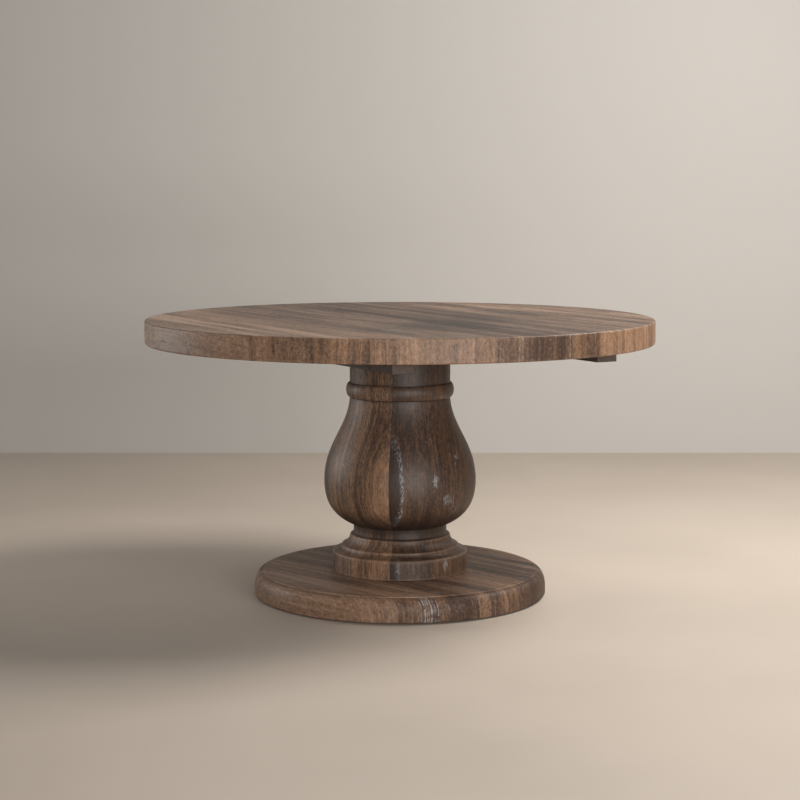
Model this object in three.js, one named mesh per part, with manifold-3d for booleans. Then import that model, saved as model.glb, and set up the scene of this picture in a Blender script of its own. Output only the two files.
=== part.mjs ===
// Round pedestal table. A round top of edge-glued planks lies on two runners, two
// cross battens and a square mounting plate. A turned column of four glued quarters
// carries it, on a round foot of edge-glued boards. A tie rod clamps the plate, the
// column and the foot together, and lag bolts hold the foot to the column.
//
// Millimetres, +Z up. The origin is on the floor, under the middle of the table.
// -Y is the front.

import * as THREE from 'three';
import { mergeVertices } from 'three/addons/utils/BufferGeometryUtils.js';
import Module from 'manifold-3d';

const wasm = await Module();
wasm.setup();

// ---------------------------------------------------------------------------
// Driving dimensions
// ---------------------------------------------------------------------------

const GAP = 0.3; // glue line or clearance between two pieces

const TABLE_HEIGHT = 755;
const TOP_RADIUS = 686;
const TOP_THICKNESS = 62;
const TOP_EDGE_ROUND = 4;
const TOP_TURN = 30; // the planks lean this many degrees to the left of +Y
const TOP_JOINTS = [-605, -504, -402, -289, -179, -56, 87, 189, 277, 413, 550];
const TOP_SEGMENTS = 120;

const BATTEN_WIDTH = 60;
const BATTEN_THICKNESS = 28;
const RUNNER_LENGTH = 1070;
const RUNNER_OFFSET = 300; // runner's centre line from the middle
const CROSS_BATTEN_OFFSET = 330;
const PLATE_SIDE = 440;

const COLUMN_TURN = -8.3; // the front glue line is this far round from -Y
const COLUMN_BORE = 30;
const COLUMN_SEGMENTS = 40;
const DRUM_RADIUS = 184;
const DRUM_TOP = 122;
const COVE_RADIUS = 159;
const COVE_TOP = 137;
const COLLAR_RADIUS = 137;
const COLLAR_TOP = 167;
const LOWER_NECK_RADIUS = 127;
const BULB_BOTTOM = 195;
const BULB_WIDEST = 314;
const BULB_RADIUS = 207;
const BULB_TOP = 541;
const NECK_RADIUS = 136.5;
const BEAD_MIDDLE = 562;
const BEAD_HALF_HEIGHT = 20;
const BEAD_DEPTH = 10;

const FOOT_RADIUS = 398;
const FOOT_TOP = 68;
const FOOT_FLAT_RADIUS = 374;
const FOOT_STEP = 2; // height of the small step round the foot's flat top
const FOOT_EDGE_ROUND = 5;
const FOOT_TURN = 45;
const FOOT_JOINTS = [-350, -284, -203, -96, 2, 100, 200, 300];
const FOOT_SEGMENTS = 80;

const GLIDE_RADIUS = 15;
const GLIDE_HEIGHT = 4;
const GLIDE_CIRCLE = 340;
const GLIDE_COUNT = 6;
const GLIDE_NAIL_RADIUS = 1.5;
const GLIDE_NAIL_LENGTH = 12;

const SCREW_LENGTH = 60;
const SCREW_RADIUS = 2.5;
const SCREW_HEAD_RADIUS = 5;
const RUNNER_SCREW_SPACING = 450;
const CROSS_SCREW_OFFSET = 200;
const PLATE_SCREW_OFFSET = 185;

const ROD_RADIUS = 6;
const NUT_ACROSS_FLATS = 19;
const NUT_HEIGHT = 10;
const WASHER_RADIUS = 22;
const WASHER_THICKNESS = 3;
const ROD_POCKET_RADIUS = 24;
const ROD_POCKET_DEPTH = 18;

const LAG_CIRCLE = 105;
const LAG_RADIUS = 5;
const LAG_LENGTH = 115;
const LAG_ACROSS_FLATS = 17;
const LAG_HEAD_HEIGHT = 7;
const LAG_POCKET_RADIUS = 13;
const LAG_POCKET_DEPTH = 24;

const TOP_BOTTOM = TABLE_HEIGHT - TOP_THICKNESS;
const BATTEN_TOP = TOP_BOTTOM - GAP;
const BATTEN_BOTTOM = BATTEN_TOP - BATTEN_THICKNESS;
const COLUMN_TOP = BATTEN_BOTTOM - GAP;
const COLUMN_BOTTOM = FOOT_TOP + GAP;

// ---------------------------------------------------------------------------
// Materials
// ---------------------------------------------------------------------------

const wood = (color) => new THREE.MeshStandardMaterial({ color, roughness: 0.7, metalness: 0 });
const steel = (color) => new THREE.MeshStandardMaterial({ color, roughness: 0.4, metalness: 1 });

const plankWoods = [wood(0x6b5546), wood(0x7d6455), wood(0x5f5047)];
const columnWood = wood(0x4f4036);
const battenWood = wood(0x3b312b);
const zincSteel = steel(0xa8a9a6);
const glideNylon = new THREE.MeshStandardMaterial({ color: 0x3a3733, roughness: 0.6 });

// ---------------------------------------------------------------------------
// Geometry helpers
// ---------------------------------------------------------------------------

// A closed geometry as a solid that can be cut and joined.
function toSolid(geometry) {
  geometry.deleteAttribute('normal');
  geometry.deleteAttribute('uv');
  const merged = mergeVertices(geometry, 1e-4);
  const corners = merged.index.array;
  const triangles = [];
  for (let i = 0; i < corners.length; i += 3) {
    const [a, b, c] = [corners[i], corners[i + 1], corners[i + 2]];
    if (a !== b && b !== c && c !== a) triangles.push(a, b, c);
  }
  return new wasm.Manifold(new wasm.Mesh({
    numProp: 3,
    vertProperties: new Float32Array(merged.attributes.position.array),
    triVerts: new Uint32Array(triangles),
  }));
}

function toGeometry(solid) {
  const mesh = solid.getMesh();
  const geometry = new THREE.BufferGeometry();
  geometry.setAttribute('position', new THREE.BufferAttribute(mesh.vertProperties, 3));
  geometry.setIndex(new THREE.BufferAttribute(mesh.triVerts, 1));
  geometry.computeVertexNormals();
  return geometry;
}

// A solid of revolution about Z from [radius, height] points, bottom to top.
function turned(outline, segments) {
  const points = outline.map(([radius, z]) => new THREE.Vector2(radius, z));
  const geometry = new THREE.LatheGeometry(points, segments);
  geometry.rotateX(Math.PI / 2);
  return toSolid(geometry);
}

function cylinder(radius, bottom, top, segments = 14) {
  return turned([[0, bottom], [radius, bottom], [radius, top], [0, top]], segments);
}

function block(sizeX, sizeY, bottom, top, x = 0, y = 0) {
  const geometry = new THREE.BoxGeometry(sizeX, sizeY, top - bottom);
  geometry.translate(x, y, (bottom + top) / 2);
  return toSolid(geometry);
}

function hexagon(acrossFlats, bottom, top) {
  return cylinder(acrossFlats / Math.sqrt(3), bottom, top, 6);
}

// Points of an elliptical arc in the outline plane, angles in degrees from +radius.
function arc(centre, across, up, start, end, steps) {
  return Array.from({ length: steps + 1 }, (_, i) => {
    const angle = THREE.MathUtils.degToRad(start + ((end - start) * i) / steps);
    return [centre[0] + across * Math.cos(angle), centre[1] + up * Math.sin(angle)];
  });
}

function bezier(start, handle1, handle2, end, steps) {
  const vectors = [start, handle1, handle2, end].map(([r, z]) => new THREE.Vector2(r, z));
  return new THREE.CubicBezierCurve(...vectors).getPoints(steps).map((p) => [p.x, p.y]);
}

function onCircle(radius, degrees) {
  const angle = THREE.MathUtils.degToRad(degrees);
  return [radius * Math.cos(angle), radius * Math.sin(angle)];
}

function cutAll(solid, tools) {
  return tools.reduce((rest, tool) => rest.subtract(tool), solid);
}

// A disc sawn into parallel boards, with a glue line at each joint across X.
function sliceIntoBoards(disc, joints, radius, height) {
  const edges = [-radius - 1, ...joints, radius + 1];
  return joints.concat(edges.at(-1)).map((right, i) => {
    const left = edges[i];
    const board = block(right - left - GAP, 2 * radius + 2, -1, height + 1, (left + right) / 2);
    return disc.intersect(board);
  });
}

const table = new THREE.Group();

function turnedGroup(degrees) {
  const group = new THREE.Group();
  group.rotation.z = THREE.MathUtils.degToRad(degrees);
  table.add(group);
  return group;
}

const topGroup = turnedGroup(TOP_TURN);
const columnGroup = turnedGroup(COLUMN_TURN);
const footGroup = turnedGroup(FOOT_TURN);

function addPiece(group, name, solid, material) {
  const mesh = new THREE.Mesh(toGeometry(solid), material);
  mesh.name = name;
  group.add(mesh);
}

// ---------------------------------------------------------------------------
// Wood screws, which hold the battens and the plate to the planks
// ---------------------------------------------------------------------------

const SCREW_HEAD_BOTTOM = BATTEN_BOTTOM + GAP;
const RUNNER_SCREW_PLACES = [-1, 1].flatMap((side) =>
  [-1, 0, 1].map((step) => [side * RUNNER_OFFSET, step * RUNNER_SCREW_SPACING]));
const CROSS_SCREW_PLACES = [-1, 1].flatMap((end) =>
  [-1, 1].map((side) => [side * CROSS_SCREW_OFFSET, end * CROSS_BATTEN_OFFSET]));
const PLATE_SCREW_PLACES = [-1, 1].flatMap((end) =>
  [-1, 1].map((side) => [side * PLATE_SCREW_OFFSET, end * PLATE_SCREW_OFFSET]));

// With room, this is the hole that the screw sits in.
function woodScrew([x, y], room = 0) {
  const headBottom = SCREW_HEAD_BOTTOM - 2 * room;
  const top = SCREW_HEAD_BOTTOM + SCREW_LENGTH + room;
  const taper = SCREW_HEAD_RADIUS - SCREW_RADIUS;
  const outline = [
    [0, headBottom],
    [SCREW_HEAD_RADIUS + room, headBottom],
    [SCREW_HEAD_RADIUS + room, SCREW_HEAD_BOTTOM + 0.8],
    [SCREW_RADIUS + room, SCREW_HEAD_BOTTOM + 0.8 + taper],
    [SCREW_RADIUS + room, top - 6],
    [0, top],
  ];
  return turned(outline, 8).translate([x, y, 0]);
}

function screwHoles(places) {
  return places.map((place) => woodScrew(place, GAP));
}

// ---------------------------------------------------------------------------
// Top, in its own turned group: planks along Y, joints across X
// ---------------------------------------------------------------------------

function buildTop() {
  const round = TOP_EDGE_ROUND;
  const outline = [
    [0, TOP_BOTTOM],
    ...arc([TOP_RADIUS - round, TOP_BOTTOM + round], round, round, -90, 0, 2),
    ...arc([TOP_RADIUS - round, TABLE_HEIGHT - round], round, round, 0, 90, 2),
    [0, TABLE_HEIGHT],
  ];
  const screws = [...RUNNER_SCREW_PLACES, ...CROSS_SCREW_PLACES, ...PLATE_SCREW_PLACES];
  const disc = cutAll(turned(outline, TOP_SEGMENTS), screwHoles(screws));
  sliceIntoBoards(disc, TOP_JOINTS, TOP_RADIUS, TABLE_HEIGHT).forEach((plank, i) => {
    const name = `top_plank_${String(i + 1).padStart(2, '0')}`;
    addPiece(topGroup, name, plank, plankWoods[i % plankWoods.length]);
  });
}

function buildBattens() {
  ['runner_left', 'runner_right'].forEach((name, i) => {
    const x = (i === 0 ? -1 : 1) * RUNNER_OFFSET;
    const runner = block(BATTEN_WIDTH, RUNNER_LENGTH, BATTEN_BOTTOM, BATTEN_TOP, x);
    addPiece(topGroup, name, cutAll(runner, screwHoles(RUNNER_SCREW_PLACES)), battenWood);
  });
  const crossLength = 2 * (RUNNER_OFFSET - BATTEN_WIDTH / 2 - GAP);
  ['cross_batten_front', 'cross_batten_back'].forEach((name, i) => {
    const y = (i === 0 ? -1 : 1) * CROSS_BATTEN_OFFSET;
    const batten = block(crossLength, BATTEN_WIDTH, BATTEN_BOTTOM, BATTEN_TOP, 0, y);
    addPiece(topGroup, name, cutAll(batten, screwHoles(CROSS_SCREW_PLACES)), battenWood);
  });
}

function buildMountingPlate() {
  const plate = block(PLATE_SIDE, PLATE_SIDE, BATTEN_BOTTOM, BATTEN_TOP);
  const rodHole = cylinder(ROD_RADIUS + GAP, BATTEN_BOTTOM - 1, BATTEN_TOP + 1);
  const pocket = cylinder(ROD_POCKET_RADIUS, BATTEN_TOP - ROD_POCKET_DEPTH, BATTEN_TOP + 1);
  const tools = [rodHole, pocket, ...screwHoles(PLATE_SCREW_PLACES)];
  addPiece(topGroup, 'mounting_plate', cutAll(plate, tools), battenWood);
}

function buildScrews() {
  const sets = {
    runner_screw: RUNNER_SCREW_PLACES,
    cross_batten_screw: CROSS_SCREW_PLACES,
    plate_screw: PLATE_SCREW_PLACES,
  };
  for (const [name, places] of Object.entries(sets)) {
    places.forEach((place, i) => {
      addPiece(topGroup, `${name}_${i + 1}`, woodScrew(place), zincSteel);
    });
  }
}

// ---------------------------------------------------------------------------
// Lag bolts, one up the middle of each column quarter
// ---------------------------------------------------------------------------

const LAG_HEAD_TOP = GLIDE_HEIGHT + LAG_POCKET_DEPTH - GAP;
const LAG_ANGLES = [45, 135, 225, 315]; // from the column's own X

// With room, this is the hole that the bolt's shank sits in.
function lagShank([x, y], room = 0) {
  const top = LAG_HEAD_TOP + LAG_LENGTH + room;
  const radius = LAG_RADIUS + room;
  const outline = [
    [0, LAG_HEAD_TOP - 1],
    [radius, LAG_HEAD_TOP - 1],
    [radius, top - 10],
    [0, top],
  ];
  return turned(outline, 10).translate([x, y, 0]);
}

function buildLagBolts() {
  LAG_ANGLES.forEach((angle, i) => {
    const place = onCircle(LAG_CIRCLE, angle);
    const head = hexagon(LAG_ACROSS_FLATS, LAG_HEAD_TOP - LAG_HEAD_HEIGHT, LAG_HEAD_TOP);
    const bolt = head.translate([...place, 0]).add(lagShank(place));
    addPiece(columnGroup, `lag_bolt_${i + 1}`, bolt, zincSteel);
  });
}

// ---------------------------------------------------------------------------
// Column: one turning, sawn down into four quarters
// ---------------------------------------------------------------------------

const columnOutline = [
  [COLUMN_BORE, COLUMN_BOTTOM],
  [DRUM_RADIUS, COLUMN_BOTTOM],
  ...arc([DRUM_RADIUS - 5, DRUM_TOP - 5], 5, 5, 0, 90, 2),
  ...bezier([175, DRUM_TOP + 1], [166, DRUM_TOP + 2], [161, 128], [160, COVE_TOP - 3], 2),
  ...bezier([COVE_RADIUS, COVE_TOP], [146, 142], [139, 150], [COLLAR_RADIUS, 161], 3),
  [COLLAR_RADIUS - 3, COLLAR_TOP - 1.5],
  [LOWER_NECK_RADIUS, COLLAR_TOP],
  [LOWER_NECK_RADIUS, BULB_BOTTOM],
  ...bezier([131, BULB_BOTTOM], [180, 216], [BULB_RADIUS, 250], [BULB_RADIUS, BULB_WIDEST], 7),
  ...bezier([BULB_RADIUS, BULB_WIDEST], [BULB_RADIUS, 413], [142, 457],
    [NECK_RADIUS, BULB_TOP], 8).slice(1),
  ...arc([NECK_RADIUS, BEAD_MIDDLE], BEAD_DEPTH, BEAD_HALF_HEIGHT, -80, 80, 5),
  [NECK_RADIUS, BEAD_MIDDLE + BEAD_HALF_HEIGHT],
  [NECK_RADIUS, COLUMN_TOP],
  [COLUMN_BORE, COLUMN_TOP],
  [COLUMN_BORE, COLUMN_BOTTOM],
];

function buildColumn() {
  const shanks = LAG_ANGLES.map((angle) => lagShank(onCircle(LAG_CIRCLE, angle), GAP));
  const column = cutAll(turned(columnOutline, COLUMN_SEGMENTS), shanks);
  const quarters = {
    column_quarter_front_right: [1, -1],
    column_quarter_front_left: [-1, -1],
    column_quarter_back_left: [-1, 1],
    column_quarter_back_right: [1, 1],
  };
  const side = BULB_RADIUS + 1;
  const middle = (side + GAP) / 2;
  for (const [name, [x, y]] of Object.entries(quarters)) {
    const quarter = block(side, side, COLUMN_BOTTOM - 1, COLUMN_TOP + 1, x * middle, y * middle);
    addPiece(columnGroup, name, column.intersect(quarter), columnWood);
  }
}

// ---------------------------------------------------------------------------
// Tie rod through the column's bore, with a washer and a nut at each end
// ---------------------------------------------------------------------------

function buildTieRod() {
  const footSeat = GLIDE_HEIGHT + ROD_POCKET_DEPTH;
  const plateSeat = BATTEN_TOP - ROD_POCKET_DEPTH;
  const stack = WASHER_THICKNESS + NUT_HEIGHT + 4 * GAP;
  const rod = cylinder(ROD_RADIUS, footSeat - stack - 1, plateSeat + stack + 1);
  addPiece(columnGroup, 'tie_rod', rod, zincSteel);

  const hole = cylinder(ROD_RADIUS + GAP, 0, TABLE_HEIGHT);
  const ends = [['bottom', footSeat, -1], ['top', plateSeat, 1]];
  for (const [end, seat, outward] of ends) {
    const washerNear = seat + outward * GAP;
    const washerFar = washerNear + outward * WASHER_THICKNESS;
    const nutNear = washerFar + outward * GAP;
    const nutFar = nutNear + outward * NUT_HEIGHT;
    const span = (a, b) => [Math.min(a, b), Math.max(a, b)];
    const washer = cylinder(WASHER_RADIUS, ...span(washerNear, washerFar));
    const nut = hexagon(NUT_ACROSS_FLATS, ...span(nutNear, nutFar));
    addPiece(columnGroup, `tie_rod_washer_${end}`, washer.subtract(hole), zincSteel);
    addPiece(columnGroup, `tie_rod_nut_${end}`, nut.subtract(hole), zincSteel);
  }
}

// ---------------------------------------------------------------------------
// Foot, in its own turned group: boards along Y, joints across X
// ---------------------------------------------------------------------------

const GLIDE_PLACES = Array.from({ length: GLIDE_COUNT }, (_, i) =>
  onCircle(GLIDE_CIRCLE, ((i + 0.5) * 360) / GLIDE_COUNT));

function glideNail([x, y], room = 0) {
  const radius = GLIDE_NAIL_RADIUS + room;
  const top = GLIDE_HEIGHT + GLIDE_NAIL_LENGTH + room;
  return cylinder(radius, GLIDE_HEIGHT - 1, top, 8).translate([x, y, 0]);
}

function buildFoot() {
  const shoulder = FOOT_TOP - FOOT_STEP;
  const round = FOOT_EDGE_ROUND;
  const outline = [
    [0, GLIDE_HEIGHT],
    ...arc([FOOT_RADIUS - 1 - round, GLIDE_HEIGHT + round], round, round, -90, 0, 2),
    [FOOT_RADIUS, 26],
    ...bezier([FOOT_RADIUS, 46], [FOOT_RADIUS, 58], [389, shoulder],
      [FOOT_FLAT_RADIUS + 2, shoulder], 3),
    [FOOT_FLAT_RADIUS + 0.5, shoulder],
    [FOOT_FLAT_RADIUS, FOOT_TOP],
    [0, FOOT_TOP],
  ];
  const pocketTop = GLIDE_HEIGHT + LAG_POCKET_DEPTH;
  const lagPlaces = LAG_ANGLES.map((angle) =>
    onCircle(LAG_CIRCLE, angle + COLUMN_TURN - FOOT_TURN));
  const tools = [
    cylinder(ROD_RADIUS + GAP, 0, FOOT_TOP + 1),
    cylinder(ROD_POCKET_RADIUS, 0, GLIDE_HEIGHT + ROD_POCKET_DEPTH),
    ...lagPlaces.map((place) => lagShank(place, GAP)),
    ...lagPlaces.map((place) => cylinder(LAG_POCKET_RADIUS, 0, pocketTop).translate([...place, 0])),
    ...GLIDE_PLACES.map((place) => glideNail(place, GAP)),
  ];
  const disc = cutAll(turned(outline, FOOT_SEGMENTS), tools);
  sliceIntoBoards(disc, FOOT_JOINTS, FOOT_RADIUS, FOOT_TOP).forEach((board, i) => {
    addPiece(footGroup, `foot_board_${i + 1}`, board, plankWoods[(i + 1) % plankWoods.length]);
  });
}

function buildGlides() {
  const outline = [
    [0, 0],
    [GLIDE_RADIUS - 2, 0],
    [GLIDE_RADIUS, 1.5],
    [GLIDE_RADIUS, GLIDE_HEIGHT - GAP],
    [0, GLIDE_HEIGHT - GAP],
  ];
  GLIDE_PLACES.forEach((place, i) => {
    const pad = turned(outline, 14).translate([...place, 0]);
    addPiece(footGroup, `glide_${i + 1}`, pad.add(glideNail(place)), glideNylon);
  });
}

buildTop();
buildBattens();
buildMountingPlate();
buildScrews();
buildColumn();
buildTieRod();
buildLagBolts();
buildFoot();
buildGlides();

export default table;
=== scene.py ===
"""Round pedestal table of reclaimed wood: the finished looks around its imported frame.

Planks of the top run 30 degrees to the left of +Y, boards of the foot 45 degrees.
Metres, +Z up, origin on the floor under the middle of the table, -Y is the front.
"""

import math

import bmesh
import bpy
from mathutils import Matrix, Vector, noise


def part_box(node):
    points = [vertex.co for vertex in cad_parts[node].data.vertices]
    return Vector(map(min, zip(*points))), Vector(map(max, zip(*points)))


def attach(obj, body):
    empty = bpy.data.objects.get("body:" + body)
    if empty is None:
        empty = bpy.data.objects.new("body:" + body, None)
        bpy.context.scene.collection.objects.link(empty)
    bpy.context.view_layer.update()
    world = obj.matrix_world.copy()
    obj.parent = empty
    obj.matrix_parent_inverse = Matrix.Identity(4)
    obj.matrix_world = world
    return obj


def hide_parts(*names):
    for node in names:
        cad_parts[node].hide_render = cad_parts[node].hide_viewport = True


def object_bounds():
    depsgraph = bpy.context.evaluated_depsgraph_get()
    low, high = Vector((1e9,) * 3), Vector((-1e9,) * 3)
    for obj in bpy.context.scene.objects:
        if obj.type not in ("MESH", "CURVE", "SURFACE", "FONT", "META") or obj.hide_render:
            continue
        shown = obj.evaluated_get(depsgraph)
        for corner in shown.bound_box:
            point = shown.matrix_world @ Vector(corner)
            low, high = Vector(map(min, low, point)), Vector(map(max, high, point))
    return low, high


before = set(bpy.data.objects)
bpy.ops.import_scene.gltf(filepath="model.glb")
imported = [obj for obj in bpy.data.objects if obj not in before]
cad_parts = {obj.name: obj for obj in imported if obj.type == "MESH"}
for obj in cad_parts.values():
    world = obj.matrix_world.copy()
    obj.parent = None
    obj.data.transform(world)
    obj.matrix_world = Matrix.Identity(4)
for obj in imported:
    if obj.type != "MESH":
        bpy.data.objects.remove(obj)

bl_info = {
    "name": "Round Pedestal Table",
    "version": (1, 0, 0),
    "blender": (4, 5, 0),
    "location": "View3D > Sidebar > Table",
    "description": "Builds a turned pedestal table of glued reclaimed boards",
    "category": "Add Mesh",
}

CAD_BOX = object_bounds()
MM = 0.001
GLUE_LINE = 0.3 * MM

TOP_TURN = math.radians(30)
COLUMN_TURN = math.radians(-8.3)
FOOT_TURN = math.radians(45)

TOP_RADIUS = (CAD_BOX[1].x - CAD_BOX[0].x) / 2
PLANK_NODES = [f"top_plank_{i:02d}" for i in range(1, 13)]
FOOT_NODES = [f"foot_board_{i}" for i in range(1, 10)]
QUARTER_NODES = [
    "column_quarter_front_right",
    "column_quarter_back_right",
    "column_quarter_back_left",
    "column_quarter_front_left",
]
RUNNER_NODES = ["runner_left", "runner_right"]
CROSS_NODES = ["cross_batten_front", "cross_batten_back"]
NO_JOINT = 9.0  # a place far off the disc, for a board with no joint on its right


# Settings that a user may change


def length_setting(name, description, default):
    return bpy.props.FloatProperty(
        name=name, description=description, default=default, min=0.0, precision=5, unit="LENGTH"
    )


def colour_setting(name, description, default):
    return bpy.props.FloatVectorProperty(
        name=name, description=description, default=default, size=3, min=0.0, max=1.0, subtype="COLOR"
    )


def number_setting(name, description, default, top=1000.0):
    return bpy.props.FloatProperty(name=name, description=description, default=default, min=0.0, max=top)


class FinishSettings(bpy.types.PropertyGroup):
    """Colours of the stained and waxed wood and of the fittings."""

    # light wood is also the colour of the painted highlight on the arrises
    light_wood: colour_setting("Light wood", "Early wood under the stain", (0.37, 0.236, 0.162))
    middle_wood: colour_setting("Middle wood", "Most of the wood", (0.19, 0.118, 0.078))
    # dark wood, dimmed, is also the colour of the column's painted shade
    dark_wood: colour_setting("Dark wood", "Late wood, where the stain is deepest", (0.055, 0.034, 0.025))
    smoke: colour_setting("Smoke", "Cast that darkens the smoky patches", (0.40, 0.44, 0.49))
    wax: colour_setting("Wax", "Dried liming wax left in the grain", (0.42, 0.46, 0.50))
    batten_wood: colour_setting("Batten wood", "Plain dark wood under the top", (0.042, 0.027, 0.020))
    zinc: colour_setting("Zinc", "Plated steel of screws, bolts and washers", (0.56, 0.56, 0.54))
    nylon: colour_setting("Nylon", "Glides under the foot", (0.045, 0.040, 0.036))


class TopSettings(bpy.types.PropertyGroup):
    """Sizes of the round top."""

    edge_round: length_setting("Edge round", "Radius of the rim's arrises", 4 * MM)
    joint_ease: length_setting("Joint ease", "Rounding of the edges beside a glue line", 0.5 * MM)
    edge_wear: length_setting("Edge wear", "How far the arrises wander with wear", 0.45 * MM)


class ColumnSettings(bpy.types.PropertyGroup):
    """Sizes of the turned column."""

    drum_radius: length_setting("Drum radius", "Radius of the drum on the foot", 184 * MM)
    collar_radius: length_setting("Collar radius", "Radius of the collar over the cove", 137 * MM)
    lower_neck: length_setting("Lower neck radius", "Radius of the neck under the bulb", 127 * MM)
    bulb_radius: length_setting("Bulb radius", "Widest radius of the bulb", 207 * MM)
    neck_radius: length_setting("Neck radius", "Radius of the neck under the top", 136.5 * MM)
    bore: length_setting("Bore radius", "Radius of the hole for the tie rod", 30 * MM)


class FootSettings(bpy.types.PropertyGroup):
    """Sizes of the round foot."""

    edge_round: length_setting("Edge round", "Radius of the foot's lower arris", 5 * MM)
    flat_radius: length_setting("Flat radius", "Radius of the flat inside the small step", 374 * MM)
    step: length_setting("Step", "Height of the small step round the flat", 2 * MM)


class FittingSettings(bpy.types.PropertyGroup):
    """Sizes of the fittings."""

    nut_flats: length_setting("Nut across flats", "Width of the tie rod's nuts", 19 * MM)
    bolt_flats: length_setting("Bolt across flats", "Width of the lag bolts' heads", 17 * MM)
    thread_pitch: length_setting("Thread pitch", "Pitch of the tie rod's thread", 1.75 * MM)
    batten_ease: length_setting("Batten ease", "Rounding of the battens' edges", 1.2 * MM)


class StageSettings(bpy.types.PropertyGroup):
    """Camera, floor, backdrop and lights."""

    camera_back: length_setting("Camera distance", "Distance in front of the table", 5.064)
    camera_height: length_setting("Camera height", "Height over the floor", 1.1176)
    camera_pitch: bpy.props.FloatProperty(
        name="Camera pitch", description="Angle down from level", default=0.1153, subtype="ANGLE"
    )
    lens: number_setting("Lens", "Focal length in mm", 84.33)
    backdrop_back: length_setting("Backdrop distance", "Distance behind the table", 2.67)
    floor: colour_setting("Floor", "Pale floor", (0.52, 0.445, 0.375))
    backdrop: colour_setting("Backdrop", "Plain grey backdrop", (0.50, 0.48, 0.45))
    key_light: number_setting("Key light", "Power in watts", 150.0)
    side_light: number_setting("Side light", "Power in watts", 5.0)
    fill_light: number_setting("Fill light", "Power in watts", 188.0)
    ambient: number_setting("Ambient", "Strength of the even light all round", 0.115, 5.0)


# Reading the frame


def span(nodes):
    """Lowest and highest corner round several CAD nodes."""
    corners = [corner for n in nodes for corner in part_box(n)]
    return Vector(map(min, *corners)), Vector(map(max, *corners))


def radius_of(nodes):
    """Half the width of a round node, or of several that make one disc."""
    low, high = span(nodes)
    return (high.x - low.x) / 2


def foot_point(node):
    """The lowest point of a standing node's axis."""
    low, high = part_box(node)
    return (low.x + high.x) / 2, (low.y + high.y) / 2, low.z


def local_span(node, turn):
    """A node's lowest and highest corner in its group's own turned axes."""
    back = Matrix.Rotation(-turn, 3, "Z")
    places = [back @ v.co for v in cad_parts[node].data.vertices]
    return Vector(map(min, *places)), Vector(map(max, *places))


# Shapes


def arc(centre, across, up, start, end, steps):
    """Points of an elliptical arc in the (radius, height) plane, angles in degrees."""
    turns = [math.radians(start + (end - start) * i / steps) for i in range(steps + 1)]
    return [(centre[0] + across * math.cos(a), centre[1] + up * math.sin(a)) for a in turns]


def bezier(start, first, second, end, steps):
    """Points of a curve from start to end, pulled toward the two between."""
    points = []
    for i in range(steps + 1):
        t = i / steps
        s = 1 - t
        weights = (s * s * s, 3 * s * s * t, 3 * s * t * t, t * t * t)
        corners = (start, first, second, end)
        points.append(tuple(sum(w * c[k] for w, c in zip(weights, corners)) for k in (0, 1)))
    return points


def wander(x, y, z):
    """Smooth hand-made unevenness round zero."""
    return noise.noise(Vector((x, y, z)))


def finish_mesh(bm, name, sharp_angle=35.0):
    """Turns a mesh in the making into a finished one, smooth apart from its sharp edges."""
    bmesh.ops.recalc_face_normals(bm, faces=bm.faces)
    mesh = bpy.data.meshes.new(name)
    bm.to_mesh(mesh)
    bm.free()
    mesh.shade_smooth()
    mesh.set_sharp_from_angle(angle=math.radians(sharp_angle))
    return mesh


def set_values(mesh, **values):
    """Writes one number per point for each named value; a value is a number or a function of place."""
    for name, value in values.items():
        layer = mesh.attributes.new(name, "FLOAT", "POINT")
        layer.data.foreach_set("value", [value(v.co) if callable(value) else value for v in mesh.vertices])


def place(name, mesh, material, slot, nodes, turn=0.0, at=(0, 0, 0), weighted=False):
    """Makes the visible piece that stands for its CAD nodes."""
    obj = bpy.data.objects.new(name, mesh)
    obj.rotation_euler = (0, 0, turn)
    obj.location = at
    bpy.context.scene.collection.objects.link(obj)
    mesh.materials.clear()
    mesh.materials.append(material)
    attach(obj, "root")
    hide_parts(*nodes)
    if weighted:
        obj.modifiers.new("Flat faces stay flat", "WEIGHTED_NORMAL").keep_sharp = True


def cut_away(mesh, cutters, sharp_angle=40.0):
    """The mesh with each cutter mesh taken out of it."""
    scene = bpy.context.scene
    body = bpy.data.objects.new("blank", mesh)
    tools = [bpy.data.objects.new("tool", cutter) for cutter in cutters]
    for obj in (body, *tools):
        scene.collection.objects.link(obj)
    for tool in tools:
        step = body.modifiers.new("cut", "BOOLEAN")
        step.object = tool
        step.operation = "DIFFERENCE"
        step.solver = "EXACT"
    bpy.context.view_layer.update()
    done = bpy.data.meshes.new_from_object(body.evaluated_get(bpy.context.evaluated_depsgraph_get()))
    for extra in (body, *tools):
        bpy.data.objects.remove(extra)
    done.set_sharp_from_angle(angle=math.radians(sharp_angle))
    return done


def ease_edges(bm, edges, ease, segments, profile):
    bmesh.ops.bevel(
        bm, geom=edges, offset=ease, offset_type="OFFSET", segments=segments, profile=profile, affect="EDGES"
    )


def ring_of_points(bm, radius, z, segments):
    turns = [2 * math.pi * i / segments for i in range(segments)]
    return [bm.verts.new((radius * math.cos(a), radius * math.sin(a), z)) for a in turns]


def skin(bm, near, far):
    """Faces between two rings; a ring of one point is a tip."""
    count = max(len(near), len(far))
    for i in range(count):
        j = (i + 1) % count
        corners = [near[i % len(near)], near[j % len(near)], far[j % len(far)], far[i % len(far)]]
        bm.faces.new(list(dict.fromkeys(corners)))


def turned_mesh(name, outline, segments=48, sharp_angle=35.0):
    """A solid of revolution about Z. The outline runs from the axis to the axis, or closes on itself."""
    bm = bmesh.new()
    rings = [ring_of_points(bm, r, z, segments if r > 0 else 1) for r, z in outline]
    if outline[0][0] > 0:
        rings.append(rings[0])
    for near, far in zip(rings, rings[1:]):
        skin(bm, near, far)
    return finish_mesh(bm, name, sharp_angle)


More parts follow.
